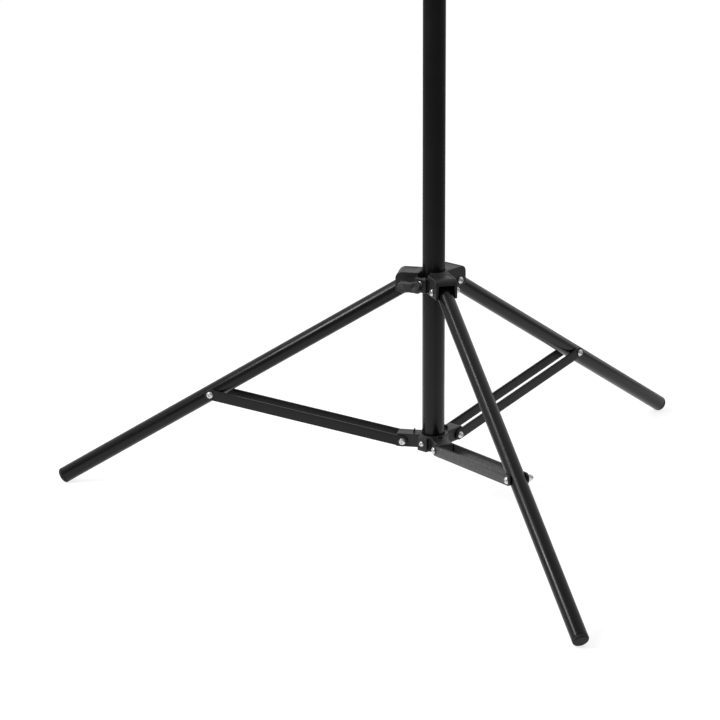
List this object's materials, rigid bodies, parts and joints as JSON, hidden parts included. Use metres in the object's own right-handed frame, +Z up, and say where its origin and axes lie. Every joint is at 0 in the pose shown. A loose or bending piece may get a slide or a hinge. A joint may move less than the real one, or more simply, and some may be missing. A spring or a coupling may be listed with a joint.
{
  "type": "light stand",
  "caption": "Telescopic mast on a folding tripod base: tube legs hinge on a sliding, clamped spider and are braced by twin-bar struts from a fixed lower collar.",
  "frame": {"origin": "on the floor, at the middle of the box round the three feet", "axes": "+Z up along the mast, -Y towards the front leg, +X to the right-hand side"},
  "size_m": [0.7584, 0.6594, 0.7945],
  "materials": {
    "powder_coat": "black powder coat on aluminium tube",
    "moulded_nylon": "black glass-filled nylon moulding",
    "bar_paint": "black paint on flat steel bar",
    "zinc": "bright zinc-plated steel",
    "foot_rubber": "matt black rubber",
    "spigot_steel": "turned steel, nickel-plated"
  },
  "bodies": {
    "mast": {"base_tube": "powder_coat", "lower_collar": "moulded_nylon", "mast_bottom_plug": "moulded_nylon", "collar_fixing_screw": "zinc", "collar_pivot_screw_front": "zinc", "collar_pivot_screw_right": "zinc", "collar_pivot_screw_left": "zinc", "collar_pivot_nut_front": "zinc", "collar_pivot_nut_right": "zinc", "collar_pivot_nut_left": "zinc", "lower_lock_collar": "moulded_nylon", "lower_lock_nut": "zinc"},
    "spider": {"leg_spider": "moulded_nylon", "leg_pivot_screw_front": "zinc", "leg_pivot_screw_right": "zinc", "leg_pivot_screw_left": "zinc", "leg_pivot_nut_front": "zinc", "leg_pivot_nut_right": "zinc", "leg_pivot_nut_left": "zinc", "spider_clamp_nut": "zinc"},
    "spider_clamp_screw": {"spider_knob": "moulded_nylon", "spider_stud": "zinc"},
    "leg_front": {"leg_tube_front": "powder_coat", "leg_top_plug_front": "moulded_nylon", "leg_foot_front": "foot_rubber", "strut_screw_shank_front": "zinc"},
    "leg_right": {"leg_tube_right": "powder_coat", "leg_top_plug_right": "moulded_nylon", "leg_foot_right": "foot_rubber", "strut_screw_shank_right": "zinc"},
    "leg_left": {"leg_tube_left": "powder_coat", "leg_top_plug_left": "moulded_nylon", "leg_foot_left": "foot_rubber", "strut_screw_shank_left": "zinc"},
    "strut_front": {"strut_bar_head_side_front": "bar_paint", "strut_bar_nut_side_front": "bar_paint", "strut_screw_head_front": "zinc", "strut_screw_tip_front": "zinc", "strut_nut_front": "zinc"},
    "strut_right": {"strut_bar_head_side_right": "bar_paint", "strut_bar_nut_side_right": "bar_paint", "strut_screw_head_right": "zinc", "strut_screw_tip_right": "zinc", "strut_nut_right": "zinc"},
    "strut_left": {"strut_bar_head_side_left": "bar_paint", "strut_bar_nut_side_left": "bar_paint", "strut_screw_head_left": "zinc", "strut_screw_tip_left": "zinc", "strut_nut_left": "zinc"},
    "middle_riser": {"middle_tube": "powder_coat", "middle_tube_plug": "moulded_nylon", "upper_lock_collar": "moulded_nylon", "upper_lock_nut": "zinc"},
    "top_riser": {"top_tube": "powder_coat", "top_tube_plug": "moulded_nylon", "top_spigot": "spigot_steel"},
    "lower_clamp_screw": {"lower_lock_knob": "moulded_nylon", "lower_lock_stud": "zinc"},
    "upper_clamp_screw": {"upper_lock_knob": "moulded_nylon", "upper_lock_stud": "zinc"}
  },
  "joints": [
    {"name": "spider_slide", "type": "slide", "parent": "mast", "child": "spider", "axis": [0, 0, 1], "range_m": [0, 0.3052]},
    {"name": "leg_fold_front", "type": "hinge", "parent": "spider", "child": "leg_front", "pos_m": [0, 0.07599, 0.26006], "axis": [1, 0, 0], "range_deg": [0, 57.7]},
    {"name": "leg_fold_right", "type": "hinge", "parent": "spider", "child": "leg_right", "pos_m": [0.02624, 0.12144, 0.26006], "axis": [-0.5, 0.866, 0], "range_deg": [0, 57.7]},
    {"name": "leg_fold_left", "type": "hinge", "parent": "spider", "child": "leg_left", "pos_m": [-0.02624, 0.12144, 0.26006], "axis": [-0.5, -0.866, 0], "range_deg": [0, 57.7]},
    {"name": "strut_fold_front", "type": "hinge", "parent": "mast", "child": "strut_front", "pos_m": [0, 0.07289, 0.07736], "axis": [-1, 0, 0], "range_deg": [0, 80.07]},
    {"name": "strut_fold_right", "type": "hinge", "parent": "mast", "child": "strut_right", "pos_m": [0.02892, 0.12299, 0.07736], "axis": [0.5, -0.866, 0], "range_deg": [0, 80.07]},
    {"name": "strut_fold_left", "type": "hinge", "parent": "mast", "child": "strut_left", "pos_m": [-0.02892, 0.12299, 0.07736], "axis": [0.5, 0.866, 0], "range_deg": [0, 80.07]},
    {"name": "middle_riser_slide", "type": "slide", "parent": "mast", "child": "middle_riser", "axis": [0, 0, 1], "range_m": [0, 0.45]},
    {"name": "top_riser_slide", "type": "slide", "parent": "middle_riser", "child": "top_riser", "axis": [0, 0, 1], "range_m": [0, 0.45]},
    {"name": "spider_knob_turn", "type": "hinge", "parent": "spider", "child": "spider_clamp_screw", "pos_m": [0, 0.10629, 0.26566], "axis": [-0.866, -0.5, 0], "range_deg": [0, 360]},
    {"name": "lower_knob_turn", "type": "hinge", "parent": "mast", "child": "lower_clamp_screw", "pos_m": [0, 0.10629, 0.68406], "axis": [-0.866, -0.5, 0], "range_deg": [0, 360]},
    {"name": "upper_knob_turn", "type": "hinge", "parent": "middle_riser", "child": "upper_clamp_screw", "pos_m": [0, 0.10629, 0.73136], "axis": [-0.866, -0.5, 0], "range_deg": [0, 360]}
  ],
  "couplings": [
    {"joint": "leg_fold_front", "follows": "spider_slide", "rad_per_m": 3.2994},
    {"joint": "leg_fold_right", "follows": "spider_slide", "rad_per_m": 3.2994},
    {"joint": "leg_fold_left", "follows": "spider_slide", "rad_per_m": 3.2994},
    {"joint": "strut_fold_front", "follows": "spider_slide", "rad_per_m": 4.5778},
    {"joint": "strut_fold_right", "follows": "spider_slide", "rad_per_m": 4.5778},
    {"joint": "strut_fold_left", "follows": "spider_slide", "rad_per_m": 4.5778}
  ]
}
